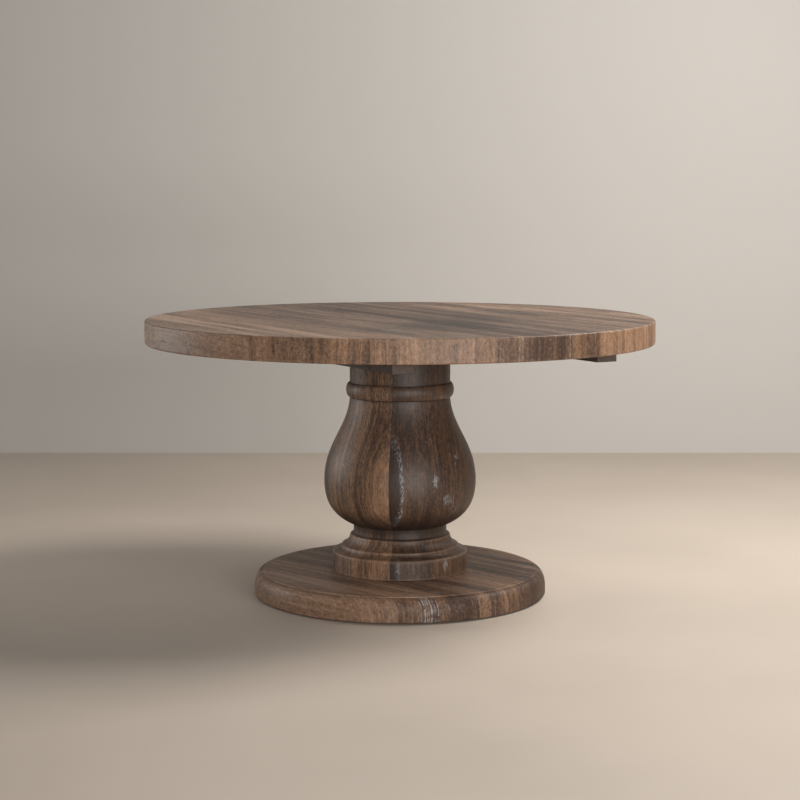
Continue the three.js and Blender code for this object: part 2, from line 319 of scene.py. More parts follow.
def disc_board(name, outline, left, right, ease, wear):
    """One board of a round disc: outline is (radius, height) from the bottom up, left and right
    are the joints' places across the board, and ease is the rounding beside a joint."""
    rim = max(r for r, z in outline)
    open_left = left > -rim + 5 * MM
    open_right = right < rim - 5 * MM
    pitch = 9 * MM
    bm = bmesh.new()
    loops = []
    counts = None
    for r, z in outline:
        if open_left:
            start = math.asin(max(left, -r) / r)
        if open_right:
            end = math.asin(min(right, r) / r)
        if open_left and open_right:
            spans = [(start, end), (math.pi - end, math.pi - start)]
        elif open_right:
            spans = [(-math.pi - end, end)]
        else:
            spans = [(start, math.pi - start)]
        counts = counts or [max(8, int((b - a) * rim / pitch)) for a, b in spans]
        chains = []
        for (a, b), count in zip(spans, counts):
            turns = [a + (b - a) * i / count for i in range(count + 1)]
            worn = [(t, r - wear(t, z, r)) for t in turns]
            chains.append([bm.verts.new((w * math.sin(t), -w * math.cos(t), z)) for t, w in worn])
        loops.append(chains)
    for low, high in zip(loops, loops[1:]):
        for a, b in zip(low, high):
            for i in range(len(a) - 1):
                bm.faces.new((a[i], a[i + 1], b[i + 1], b[i]))
    bm.faces.new([v for chain in loops[-1] for v in chain])
    bm.faces.new([v for chain in reversed(loops[0]) for v in reversed(chain)])
    edges = []
    for first, second in [(0, 1), (1, 0)] if open_left and open_right else [(0, 0)]:
        up = [loop[first][-1] for loop in loops]
        down = [loop[second][0] for loop in reversed(loops)]
        joint = bm.faces.new(up + down)
        edges += joint.edges
        # a joint's points lie in one plane, whatever the wear did
        middle = sum(v.co.x for v in joint.verts) / len(joint.verts)
        for v in joint.verts:
            v.co.x = right if middle > (left + right) / 2 else left
    ease_edges(bm, edges, ease, 2, 0.6)
    return finish_mesh(bm, name, 40.0)


def glue_up(nodes, characters, seed, turn, outline, ease, wear, arris, material, slot, holes=()):
    """Makes the boards of a round disc side by side. A hole is its cutter, its middle across the
    boards and its reach."""
    rim = max(r for r, z in outline)
    last = len(nodes) - 1
    for i, (node, character) in enumerate(zip(nodes, characters)):
        begin, end = local_span(node, turn)
        left = begin.x if i else -rim
        right = end.x if i < last else rim
        mesh = disc_board(node + "_wood", outline, left, right, ease, wear)
        here = [cutter for cutter, x, reach in holes if left - reach < x < right + reach]
        if here:
            mesh = cut_away(mesh, here)
        tone, face_tone, warmth, contrast, tilt, wax = character
        set_values(
            mesh,
            board_seed=float(seed + i),
            board_tone=tone,
            face_tone=face_tone,
            board_warmth=warmth,
            board_contrast=contrast,
            ring_tilt=math.radians(tilt),
            joint_wax=wax,
            joint_place=right if i < last else NO_JOINT,
            arris=arris,
        )
        mesh.transform(Matrix.Rotation(turn, 4, "Z"))
        place(node + "_wood", mesh, material, slot, [node], weighted=True)


def sawn_board(name, low, high, ease, seed, pitch=0.045):
    """A straight board with eased edges that wander slightly."""
    size = high - low
    long_way = 0 if size.x > size.y else 1
    count = max(1, int(size[long_way] / pitch))
    bm = bmesh.new()
    bmesh.ops.create_cube(bm, size=1.0)
    for v in bm.verts:
        v.co = Vector([low[i] + (v.co[i] + 0.5) * size[i] for i in range(3)])
    normal = Vector((0, 0, 0))
    normal[long_way] = 1
    for k in range(1, count):
        cut = low + normal * (size[long_way] * k / count)
        bmesh.ops.bisect_plane(bm, geom=[*bm.verts, *bm.edges, *bm.faces], plane_co=cut, plane_no=normal)
    sharp = [e for e in bm.edges if e.calc_face_angle(0) > 1.0]
    ease_edges(bm, sharp, ease, 3, 0.5)
    side = 1 - long_way
    middle = (low[side] + high[side]) / 2
    for v in bm.verts:
        push = 0.3 * MM * wander(v.co.x * 9 + seed, v.co.y * 9, v.co.z * 9 + seed)
        v.co[side] -= push if v.co[side] > middle else -push
    return finish_mesh(bm, name)


def hexagon_mesh(name, flats, low, high, bore=0.0, chamfer_top=True):
    """A hexagonal nut or head whose corners are turned off at its faces."""
    segments = 72
    depth = high - low
    slope = depth / math.tan(math.radians(30))
    bm = bmesh.new()
    rings = []
    for level in (0.0, 0.04, 0.09, 0.15, 0.22, 0.5, 0.78, 0.85, 0.91, 0.96, 1.0):
        ring = []
        for i in range(segments):
            a = 2 * math.pi * i / segments
            side = (a + math.pi / 6) % (math.pi / 3) - math.pi / 6
            r = min(flats / 2 / math.cos(side), flats * 0.475 + level * slope)
            if chamfer_top:
                r = min(r, flats * 0.475 + (1 - level) * slope)
            ring.append(bm.verts.new((r * math.cos(a), r * math.sin(a), low + level * depth)))
        rings.append(ring)
    if bore > 0:
        mouth = 0.6 * MM
        for r, z in ((bore + mouth, high), (bore, high - mouth), (bore, low + mouth), (bore + mouth, low)):
            rings.append(ring_of_points(bm, r, z, segments))
        rings.append(rings[0])
    else:
        bm.faces.new(rings[-1])
        bm.faces.new(list(reversed(rings[0])))
    for near, far in zip(rings, rings[1:]):
        skin(bm, near, far)
    return finish_mesh(bm, name, 25.0)


def thread_outline(radius, low, high, pitch, depth):
    """Outline of a threaded shank, as rings, bottom to top."""
    outline = []
    count = int((high - low) / pitch)
    for k in range(count):
        z = low + k * pitch
        outline += [(radius - depth, z), (radius, z + pitch * 0.45), (radius, z + pitch * 0.55)]
    return [*outline, (radius - depth, low + count * pitch)]


def bore_cutter(radius, low, high, mouth=0.8 * MM, at=(0.0, 0.0)):
    """A round hole's cutter with an eased mouth at its low end."""
    below = low - 1 * MM
    outline = [(0, below), (radius + mouth, below), (radius + mouth, low), (radius, low + mouth)]
    mesh = turned_mesh("cutter", [*outline, (radius, high), (0, high)], 40)
    mesh.transform(Matrix.Translation((*at, 0)))
    return mesh


def arris_near(corners, reach):
    """How close a place is to any of the turned corners, given as (radius, height)."""

    def value(co):
        r = math.hypot(co.x, co.y)
        nearest = min(math.hypot(r - cr, co.z - cz) for cr, cz in corners)
        return max(0.0, 1.0 - nearest / reach)

    return value


def screw_places():
    """Where each wood screw stands, in the top's own axes."""
    back = Matrix.Rotation(-TOP_TURN, 3, "Z")
    return {node: back @ Vector(foot_point(node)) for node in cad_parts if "_screw_" in node}


# Finishes


class Wire:
    """One output of a node. A sum written with it adds the maths nodes to its sheet."""

    def __init__(self, sheet, socket):
        self.sheet = sheet
        self.socket = socket

    def __add__(self, other):
        return self.sheet.calc("ADD", self, other)

    def __radd__(self, other):
        return self.sheet.calc("ADD", other, self)

    def __sub__(self, other):
        return self.sheet.calc("SUBTRACT", self, other)

    def __rsub__(self, other):
        return self.sheet.calc("SUBTRACT", other, self)

    def __mul__(self, other):
        return self.sheet.calc("MULTIPLY", self, other)

    def __truediv__(self, other):
        return self.sheet.calc("DIVIDE", self, other)

    def __abs__(self):
        return self.sheet.calc("ABSOLUTE", self)

    def at_least(self, other):
        return self.sheet.calc("MAXIMUM", self, other)

    def fade(self, low, high, out_low=0.0, out_high=1.0):
        """Eases from out_low to out_high while the value goes from low to high."""
        node = self.sheet.add("ShaderNodeMapRange", interpolation_type="SMOOTHSTEP")
        return self.sheet.wire(node, self, low, high, out_low, out_high)

    def noise(self, scale, detail=2.0, roughness=0.5):
        """Noise over a place, with one scale or one for each axis, or along a single number."""
        if isinstance(scale, tuple):
            return (self * scale).noise(1.0, detail, roughness)
        solid = self.socket.type == "VECTOR"
        node = self.sheet.add("ShaderNodeTexNoise", noise_dimensions="3D" if solid else "1D")
        self.sheet.feed(node.inputs["Vector" if solid else "W"], self)
        self.sheet.fill(node, Scale=scale, Detail=detail, Roughness=roughness)
        return self.sheet.wire(node)

    def spun(self, angle):
        """A place turned about Z."""
        node = self.sheet.add("ShaderNodeVectorRotate", rotation_type="Z_AXIS")
        self.sheet.fill(node, Vector=self, Angle=angle)
        return self.sheet.wire(node)

    def parts(self):
        node = self.sheet.add("ShaderNodeSeparateXYZ")
        self.sheet.feed(node.inputs[0], self)
        return [Wire(self.sheet, socket) for socket in node.outputs]


class Sheet:
    """Adds nodes to one tree."""

    def __init__(self, tree):
        self.tree = tree
        self.count = 0

    def add(self, kind, **settings):
        node = self.tree.nodes.new(kind)
        node.location = (self.count % 12 * 190, -(self.count // 12) * 260)
        self.count += 1
        for key, value in settings.items():
            setattr(node, key, value)
        return node

    def feed(self, socket, value):
        if isinstance(value, Wire):
            value = value.socket
        if isinstance(value, bpy.types.NodeSocket):
            self.tree.links.new(value, socket)
        else:
            socket.default_value = value

    def fill(self, node, **values):
        """Feeds sockets by name; an underscore stands for a space."""
        for key, value in values.items():
            self.feed(node.inputs[key.replace("_", " ")], value)

    def wire(self, node, *values):
        """Feeds a node's first sockets and gives its first output."""
        for socket, value in zip(node.inputs, values):
            self.feed(socket, value)
        return Wire(self, node.outputs[0])

    def calc(self, operation, *values, clamp=False):
        """A maths node, of the vector kind where a value is a place or three numbers."""
        if any(isinstance(v, tuple) or isinstance(v, Wire) and v.socket.type == "VECTOR" for v in values):
            node = self.add("ShaderNodeVectorMath", operation=operation)
            self.wire(node, *values)
            return Wire(self, node.outputs["Value" if operation == "LENGTH" else "Vector"])
        return self.wire(self.add("ShaderNodeMath", operation=operation, use_clamp=clamp), *values)

    def mix(self, amount, a, b, blend="MIX"):
        node = self.add("ShaderNodeMix", data_type="RGBA", blend_type=blend)
        for i, value in ((0, amount), (6, a), (7, b)):
            self.feed(node.inputs[i], value)
        return Wire(self, node.outputs[2])

    def place(self):
        return Wire(self, self.add("ShaderNodeTexCoord").outputs["Object"])

    def value(self, name):
        return Wire(self, self.add("ShaderNodeAttribute", attribute_name=name).outputs["Fac"])

    def group(self, name, **inputs):
        node = self.add("ShaderNodeGroup", node_tree=bpy.data.node_groups[name])
        self.fill(node, **inputs)
        return {socket.name: Wire(self, socket) for socket in node.outputs}


NUMBER = "NodeSocketFloat"
PLACE = "NodeSocketVector"
COLOUR = "NodeSocketColor"


def new_group(name, inputs, outputs):
    """An empty shader group: gives its sheet, its inputs as wires and the node that takes its outputs."""
    tree = bpy.data.node_groups.new(name, "ShaderNodeTree")
    for label, kind in inputs.items():
        tree.interface.new_socket(label, in_out="INPUT", socket_type=kind)
    for label, kind in outputs.items():
        tree.interface.new_socket(label, in_out="OUTPUT", socket_type=kind)
    sheet = Sheet(tree)
    given = {socket.name: Wire(sheet, socket) for socket in sheet.add("NodeGroupInput").outputs}
    return sheet, given, sheet.add("NodeGroupOutput")


def build_wood_figure():
    """Growth layers, thin dark lines, fibres and pores for grain that runs along a place's Y."""
    sheet, given, out = new_group(
        "Wood Figure",
        {"Place": PLACE, "Depth": NUMBER, "Seed": NUMBER, "Wander": NUMBER},
        {"Layers": NUMBER, "Lines": NUMBER, "Fibre": NUMBER, "Pores": NUMBER, "Height": NUMBER},
    )
    near = given["Place"] + given["Seed"] * (3.71, 1.37, 2.23)
    sway = (near.noise((2.0, 0.9, 2.0)) - 0.5) * given["Wander"]
    crinkle = near.noise((55.0, 9.0, 45.0), 3.0, 0.65)
    depth = given["Depth"] + sway + given["Seed"] * 0.733 + (crinkle - 0.5) * (9 * MM)
    _, y, z = near.parts()
    layered = sheet.wire(sheet.add("ShaderNodeCombineXYZ"), depth, y, z)
    broad = layered.noise((24.0, 1.1, 1.0), 1.0)
    bands = layered.noise((105.0, 2.4, 2.4), 3.0, 0.6)
    fine = layered.noise((430.0, 6.0, 6.0), 2.0, 0.6)
    mixed = broad * 0.36 + bands * 0.38 + fine * 0.26
    rings = layered.noise((130.0, 1.0, 1.5), 2.0, 0.7)
    worn = near.noise((160.0, 30.0, 60.0))
    lines = abs(rings - 0.5).fade(0.003, 0.022, 1.0, 0.0) * worn.fade(0.38, 0.62)
    fibre = near.noise((170.0, 42.0, 80.0), 4.0, 0.8) * 0.6
    fibre = fibre + near.noise((280.0, 150.0, 220.0), 2.0, 0.8) * 0.4
    pores = near.noise((430.0, 30.0, 120.0), 2.0, 0.6).fade(0.58, 0.68)
    height = fibre * 0.5 - pores * 0.5 + mixed * 0.9
    sheet.fill(out, Layers=mixed.fade(0.30, 0.70), Lines=lines, Fibre=fibre, Pores=pores, Height=height)


def build_stained_colour():
    """Colour of stained wood from its growth layers."""
    sheet, given, out = new_group(
        "Stained Colour",
        {
            "Layers": NUMBER,
            "Tone": NUMBER,
            "Warmth": NUMBER,
            "Light": COLOUR,
            "Middle": COLOUR,
            "Dark": COLOUR,
        },
        {"Colour": COLOUR},
    )
    level = given["Layers"] + given["Tone"]
    deepest = sheet.mix(0.5, given["Dark"], (0.0, 0.0, 0.0, 1.0))
    deep = sheet.mix(level.fade(-0.40, 0.16), deepest, given["Dark"])
    low = sheet.mix(level.fade(0.0, 0.55), deep, given["Middle"])
    full = sheet.mix(level.fade(0.45, 1.0), low, given["Light"])
    tint = sheet.add("ShaderNodeHueSaturation")
    sheet.fill(tint, Saturation=given["Warmth"], Color=full)
    sheet.fill(out, Colour=tint.outputs[0])


def build_soft_patch():
    """A soft, broken patch round a centre."""
    sheet, given, out = new_group(
        "Soft Patch",
        {
            "Place": PLACE,
            "Centre": PLACE,
            "Reach": PLACE,
            "Grain": PLACE,
            "Threshold": NUMBER,
            "Crumbs": NUMBER,
        },
        {"Mask": NUMBER},
    )
    place = given["Place"]
    near = sheet.calc("LENGTH", (place - given["Centre"]) / given["Reach"]).fade(1.0, 0.0)
    broken = (place * given["Grain"]).noise(1.0, 3.0, 0.65) + near * 0.45
    low = given["Threshold"] + 0.22
    crumbs = place.noise(420.0, 2.0, 0.8).fade(0.40, 0.58)
    kept = 1.0 - (1.0 - crumbs) * given["Crumbs"]
    sheet.fill(out, Mask=broken.fade(low, low + 0.16) * near * kept)


def build_wax_residue():
    """Dried wax caught in open grain: broken streaks in scattered areas."""
    sheet, given, out = new_group(
        "Wax Residue", {"Place": PLACE, "Seed": NUMBER, "Amount": NUMBER}, {"Mask": NUMBER}
    )
    near = given["Place"] + given["Seed"] * (1.9, 4.1, 2.7)
    streak = near.noise((170.0, 9.0, 170.0), 3.0, 0.6).fade(0.58, 0.70)
    area = near.noise((11.0, 4.5, 11.0)).fade(0.56, 0.70)
    crumb = near.noise(700.0, 2.0, 0.7).fade(0.36, 0.58)
    sheet.fill(out, Mask=sheet.calc("MULTIPLY", streak * area * crumb, given["Amount"], clamp=True))


GROUP_BUILDERS = {
    "Wood Figure": build_wood_figure,
    "Stained Colour": build_stained_colour,
    "Soft Patch": build_soft_patch,
    "Wax Residue": build_wax_residue,
}


def ready_groups():
    """Builds the shared shader groups that are not there yet."""
    for name, build in GROUP_BUILDERS.items():
        if name not in bpy.data.node_groups:
            build()


def soft_patch(sheet, place, centre, reach, grain, threshold, crumbs=1.0):
    """The mask of one soft patch."""
    inputs = dict(Place=place, Centre=centre, Reach=reach, Grain=grain, Threshold=threshold, Crumbs=crumbs)
    return sheet.group("Soft Patch", **inputs)["Mask"]


def new_material(name, gloss=0.42):
    """A material with its shader and output; gives the sheet that holds them."""
    material = bpy.data.materials.new(name)
    material.use_nodes = True
    material.node_tree.nodes.clear()
    sheet = Sheet(material.node_tree)
    sheet.material = material
    sheet.shader = sheet.add("ShaderNodeBsdfPrincipled")
    sheet.shader.inputs["Specular IOR Level"].default_value = gloss
    sheet.output = sheet.add("ShaderNodeOutputMaterial")
    sheet.feed(sheet.output.inputs[0], sheet.shader.outputs[0])
    return sheet


def rgba(colour, strength=1.0):
    return (*[c * strength for c in colour], 1.0)


def finish_surface(sheet, colour, roughness, height, depth):
    """Feeds a material's shader and gives the material."""
    bump = sheet.add("ShaderNodeBump")
    sheet.fill(bump, Strength=0.6, Distance=depth, Height=height)
    sheet.fill(sheet.shader, Base_Color=colour, Roughness=roughness, Normal=bump.outputs[0])
    return sheet.material


def wood_layers(sheet, finish, place, depth, seed, tone, warmth, contrast, wander_by):
    """Stained colour, roughness and height that every wood shares, before its own marks."""
    figure = sheet.group("Wood Figure", Place=place, Depth=depth, Seed=seed, Wander=wander_by)
    cloud = place.noise((9.0, 2.4, 4.0), 3.0)
    level = (figure["Layers"] - 0.5) * contrast + 0.5 + (cloud - 0.5) * 0.60 + (figure["Fibre"] - 0.5) * 1.9
    stains = dict(Light=rgba(finish.light_wood), Middle=rgba(finish.middle_wood), Dark=rgba(finish.dark_wood))
    colour = sheet.group("Stained Colour", Layers=level, Tone=tone, Warmth=warmth, **stains)["Colour"]
    colour = sheet.mix(figure["Pores"] * 0.40, colour, rgba(finish.dark_wood, 0.5))
    colour = sheet.mix(figure["Lines"] * 0.55, colour, rgba(finish.dark_wood))
    rough = 0.42 + figure["Fibre"] * 0.16 + figure["Pores"] * 0.12
    return colour, rough, figure["Height"]


def board_material(name, finish, turn, face_height, face_warmth, gloss, patches, streaks, streak_grain):
    """Wood of a round disc glued from boards that run along its own Y."""
    sheet = new_material(name, gloss)
    place = sheet.place().spun(-turn)
    x, y, z = place.parts()
    tilt = sheet.value("ring_tilt")
    depth = x * sheet.calc("COSINE", tilt) + z * sheet.calc("SINE", tilt)
    seed = sheet.value("board_seed")
    face = z.fade(face_height - 3 * MM, face_height - 0.5 * MM)
    # the upward face gets its own tone: partly the board's colour, partly painted light and shade standing in
    # for how the lamps fall on it
    tone = sheet.value("face_tone") * face + sheet.value("board_tone")
    contrast = sheet.value("board_contrast") * (1.0 + face * 0.65)
    warmth = sheet.value("board_warmth") * face.fade(0.0, 1.0, 1.0, face_warmth)
    colour, rough, height = wood_layers(sheet, finish, place, depth, seed, tone, warmth, contrast, 0.012)
    for centre, reach, amount in patches:
        patch = soft_patch(sheet, place, (*centre, face_height), (*reach, 1.0), (16.0, 3.2, 3.0), 0.38, 0.0)
        colour = sheet.mix(patch * face * amount, colour, rgba(finish.smoke), "MULTIPLY")
    wax = sheet.group("Wax Residue", Place=place, Seed=seed, Amount=0.35)["Mask"]
    for centre, reach, amount in streaks:
        patch = soft_patch(sheet, place, (*centre, face_height), (*reach, 0.09), streak_grain, 0.57)
        wax = wax.at_least(patch * amount)
    for middle, reach, front, amount in WAX_LINES[name]:
        line = x.noise(260.0, 1.0).fade(0.52, 0.60) * abs(x - middle).fade(reach, reach * 0.7)
        line = line * y.fade(front + 30 * MM, front - 20 * MM)
        line = line * place.noise((60.0, 30.0, 70.0), 3.0, 0.7).fade(0.38, 0.58)
        wax = wax.at_least(line * amount)
    line = abs(x - sheet.value("joint_place")).fade(1.5 * MM, 0.4 * MM)
    line = line * place.noise((30.0, 24.0, 150.0), 4.0, 0.75).fade(0.46, 0.60) * sheet.value("joint_wax")
    wax = wax.at_least(line)
    colour = sheet.mix(wax, colour, rgba(finish.wax))
    # lighter along the arrises: rubbed wear and a painted highlight on the rounded edges
    worn = sheet.value("arris") * place.noise((60.0, 60.0, 200.0)).fade(0.35, 0.75, 0.03, 0.32)
    colour = sheet.mix(worn, colour, rgba(finish.light_wood))
    return finish_surface(sheet, colour, rough + wax * 0.2, height, 0.5 * MM)


def column_material(finish):
    """Wood of the turned column: four quarters whose layers bow round their glue line."""
    sheet = new_material("Column wood", 0.34)
    x, y, z = sheet.place().spun(-COLUMN_TURN).parts()
    along = sheet.wire(sheet.add("ShaderNodeCombineXYZ"), x, z, y)
    facing = sheet.value("figure_facing")
    outward = x * sheet.calc("SINE", facing) - y * sheet.calc("COSINE", facing)
    depth = outward - sheet.calc("SQRT", x * x + y * y) * sheet.value("figure_follow")
    edge = depth + (along.noise((30.0, 14.0, 30.0)) - 0.5) * (1.6 * MM)
    core = edge.fade(CORE_DEPTH - 0.4 * MM, CORE_DEPTH + 0.3 * MM) * sheet.value("core_tone")
    seed = sheet.value("board_seed")
    tone = core + sheet.value("board_tone")
    warmth, contrast = sheet.value("board_warmth"), sheet.value("board_contrast")
    colour, rough, height = wood_layers(
        sheet, finish, along, depth * 3.0, seed, tone, warmth, contrast, 0.006
    )
    # painted shade: each quarter darkened by a grey, most the front right quarter, as if the column's right
    # side stood out of the light
    colour = sheet.mix(sheet.value("board_stain"), colour, (0.45, 0.42, 0.40, 1.0), "MULTIPLY")
    wax = sheet.group("Wax Residue", Place=along, Seed=seed, Amount=0.45)["Mask"]
    broken = along.noise((230.0, 90.0, 230.0), 3.0, 0.8)
    rimmed = abs(edge - CORE_DEPTH).fade(1.3 * MM, 0.2 * MM) * sheet.value("core_wax")
    rimmed = rimmed * abs(z - 0.30).fade(0.17, 0.05, 0.12, 1.0) * broken.fade(0.46, 0.60)
    wax = wax.at_least(rimmed * 0.6)
    for centre, reach, amount in COLUMN_WAX:
        wax = wax.at_least(soft_patch(sheet, along, centre, reach, (230.0, 60.0, 230.0), 0.50) * amount)
    stain = sheet.calc("MULTIPLY", core, -2.0, clamp=True) * broken.fade(0.62, 0.34, 0.35, 1.0)
    colour = sheet.mix(stain, colour, rgba(finish.dark_wood, 0.55))
    colour = sheet.mix(wax, colour, rgba(finish.wax))
    # lighter along the turned arrises: rubbed wear and a painted highlight
    colour = sheet.mix(sheet.value("arris") * 0.22, colour, rgba(finish.light_wood))
    # painted shade: darker in the creases, round the lower neck under the bulb, and up under the top where
    # the top shades the column
    shade_under_bulb = z.fade(0.262, 0.200) * z.fade(0.160, 0.185)
    painted_shade = (sheet.value("crease") * 0.8).at_least(shade_under_bulb * 0.78).at_least(z.fade(0.55, 0.64) * 0.54)
    colour = sheet.mix(painted_shade, colour, rgba(finish.dark_wood, 0.3))
    return finish_surface(sheet, colour, rough, height, 0.4 * MM)


def batten_material(finish):
    """Plain dark sawn wood, with its grain along each board."""
    sheet = new_material("Batten wood")
    place = sheet.place().spun(-TOP_TURN).spun(sheet.value("grain_across"))
    x, _, z = place.parts()
    seed = sheet.value("board_seed")
    colour, rough, height = wood_layers(sheet, finish, place, x * 0.55 + z, seed, -0.18, 0.8, 0.6, 0.02)
    colour = sheet.mix(0.82, colour, rgba(finish.batten_wood))
    height = height + place.noise((4.0, 420.0, 4.0)) * 0.4
    return finish_surface(sheet, colour, rough + 0.15, height, 0.5 * MM)


def zinc_material(finish):
    """Blotched zinc plate with fine scratches and a little rust."""
    sheet = new_material("Zinc plated steel")
    sheet.shader.inputs["Metallic"].default_value = 1.0
    place = sheet.place()
    blotch = place.noise(90.0, 4.0, 0.6)
    colour = sheet.mix(blotch.fade(0.35, 0.7), rgba(finish.zinc), rgba(finish.zinc, 0.62))
    stain = place.noise(220.0, 3.0, 0.7).fade(0.62, 0.72)
    colour = sheet.mix(stain * 0.5, colour, (0.16, 0.09, 0.05, 1.0))
    height = place.noise((1400.0, 90.0, 1400.0)) + blotch * 0.5
    return finish_surface(sheet, colour, 0.30 + blotch * 0.25, height, 0.05 * MM)


def nylon_material(finish):
    """Dark nylon, scuffed and dusty."""
    sheet = new_material("Glide nylon")
    place = sheet.place()
    scuff = place.noise((500.0, 120.0, 500.0), 4.0, 0.7)
    dust = place.noise(60.0, 3.0).fade(0.5, 0.8)
    colour = sheet.mix(scuff.fade(0.5, 0.75), rgba(finish.nylon), rgba(finish.nylon, 3.0))
    colour = sheet.mix(dust * 0.4, colour, (0.30, 0.27, 0.24, 1.0))
    return finish_surface(sheet, colour, 0.42 + scuff * 0.3, scuff, 0.1 * MM)


# Character of each board, from left to right

# tone, tone on the face (the board's own tone there with painted light and shade on its upward face), warmth,
# contrast, ring tilt in degrees, wax at the right-hand joint
PLANK_CHARACTER = [
    (0.15, -0.02, 1.05, 0.45, 70, 0.0),
    (-0.04, 0.24, 1.06, 0.75, 1, 0.0),
    (-0.11, 0.24, 1.12, 0.60, -2, 0.1),
    (0.02, 0.00, 1.12, 0.50, 2, 0.1),
    (-0.03, -0.10, 1.10, 0.50, -1, 0.5),
    (-0.20, -0.02, 1.13, 0.50, 1, 0.8),
    (-0.32, 0.02, 1.15, 0.55, -1, 0.2),
    (-0.27, -0.04, 1.15, 0.50, 2, 0.1),
    (-0.02, -0.20, 1.12, 0.50, -2, 0.2),
    (0.04, -0.20, 1.15, 0.65, 1, 0.0),
    (0.05, -0.12, 1.15, 0.70, -3, 0.1),
    (0.08, -0.12, 1.15, 0.55, 40, 0.0),
]

FOOT_CHARACTER = [
    (0.00, 0.10, 1.06, 0.50, 70, 0.0),
    (0.02, 0.10, 1.04, 0.50, 3, 0.1),
    (-0.42, 0.42, 1.10, 0.50, -2, 1.0),
    (-0.38, 0.30, 1.15, 0.50, 2, 0.3),
    (-0.22, 0.06, 1.10, 0.50, -2, 0.2),
    (-0.46, 0.22, 1.12, 0.55, 2, 0.0),
    (-0.54, 0.12, 1.15, 0.50, -3, 0.4),
    (-0.44, 0.06, 1.20, 0.55, 2, 0.0),
    (-0.18, 0.00, 1.15, 0.50, 40, 0.0),
]

# centre and reach on the face in board axes, and strength
TOP_SMOKE = [
    ((-0.06, -0.31), (0.32, 0.36), 0.85),
    ((0.14, -0.12), (0.26, 0.40), 0.60),
    ((0.36, 0.02), (0.14, 0.34), 0.50),
    ((-0.30, -0.36), (0.10, 0.24), 0.60),
    ((0.00, 0.40), (0.14, 0.32), 0.45),
    ((0.62, -0.05), (0.05, 0.14), 0.60),
]
TOP_WAX = [
    ((-0.24, -0.38), (0.05, 0.16), 0.22),
    ((0.245, -0.235), (0.025, 0.05), 0.45),
    ((-0.01, -0.07), (0.03, 0.10), 0.25),
    ((0.02, 0.44), (0.03, 0.08), 0.25),
]
FOOT_WAX = [
    ((-0.160, -0.290), (0.030, 0.050), 0.30),
    ((0.172, -0.180), (0.008, 0.090), 0.45),
    ((0.239, -0.244), (0.020, 0.020), 0.40),
]

# Wax held in open grain: middle, reach across the boards, where it begins at the front, strength
WAX_LINES = {
    "Foot wood": [(-0.222, 0.022, -0.28, 0.58), (0.262, 0.016, -0.18, 0.35)],
    "Top wood": [(0.085, 0.010, -0.62, 0.30), (-0.060, 0.008, -0.64, 0.35)],
}

# Where the darker core of the front quarters begins, by the layers' own measure
CORE_DEPTH = 13.4 * MM

# centre and reach in (across, along, deep) column axes, and strength
COLUMN_WAX = [
    ((0.119, 0.335, -0.165), (0.016, 0.042, 0.06), 0.62),
    ((0.144, 0.285, -0.130), (0.036, 0.034, 0.06), 0.48),
    ((0.166, 0.415, -0.110), (0.012, 0.085, 0.05), 0.60),
    ((0.140, 0.105, -0.120), (0.012, 0.035, 0.05), 0.45),
    ((0.020, 0.100, -0.170), (0.016, 0.060, 0.05), 0.45),
    ((-0.110, 0.120, -0.120), (0.016, 0.030, 0.05), 0.45),
]

# tone, warmth, contrast, facing in degrees from the front glue line, follow, core tone, core wax, painted
# shade
QUARTER_CHARACTER = [
    (-0.28, 1.15, 0.42, 0, 0.92, -0.25, 0.8, 0.78),
    (-0.30, 1.10, 0.45, 172, 0.92, 0.05, 0.0, 0.10),
    (-0.30, 1.10, 0.45, 178, 0.92, -0.10, 0.3, 0.10),
    (-0.19, 1.15, 0.85, 1, 0.83, 0.12, 0.0, 0.0),
]


# Pieces


class TABLE_OT_top(bpy.types.Operator):
    """Builds the twelve planks of the round top."""

    bl_idname = "table.build_top"
    bl_label = "Top planks"

    def execute(self, context):
        ready_groups()
        settings = context.scene.table_top
        finish = context.scene.table_finish
        face = CAD_BOX[1].z
        material = board_material(
            "Top wood", finish, TOP_TURN, face, 0.84, 0.32, TOP_SMOKE, TOP_WAX, (380.0, 22.0, 22.0)
        )
        low, high = span(PLANK_NODES)
        r, e = TOP_RADIUS, settings.edge_round
        outline = [(r - 14 * MM, low.z), *arc((r - e, low.z + e), e, e, -90, 0, 5)]
        outline += [(r, low.z + 9 * MM), (r, high.z - 9 * MM)]
        outline += [*arc((r - e, high.z - e), e, e, 0, 90, 6), (r - 14 * MM, high.z)]
        middle = (low.z + high.z) / 2
        worn = settings.edge_wear

        def wear(a, z, radius):
            if radius < r - 8 * MM:
                return 0.0
            near = max(0.0, abs(z - middle) - (high.z - low.z) / 2 + 8 * MM) / (8 * MM)
            return worn * near * (0.4 + abs(wander(a * 9, z * 30, 3.3)))

        arris = arris_near([(r, low.z), (r, high.z)], 7 * MM)
        glue_up(PLANK_NODES, PLANK_CHARACTER, 1, TOP_TURN, outline, settings.joint_ease, wear, arris,
                material, "top_wood")
        return {"FINISHED"}


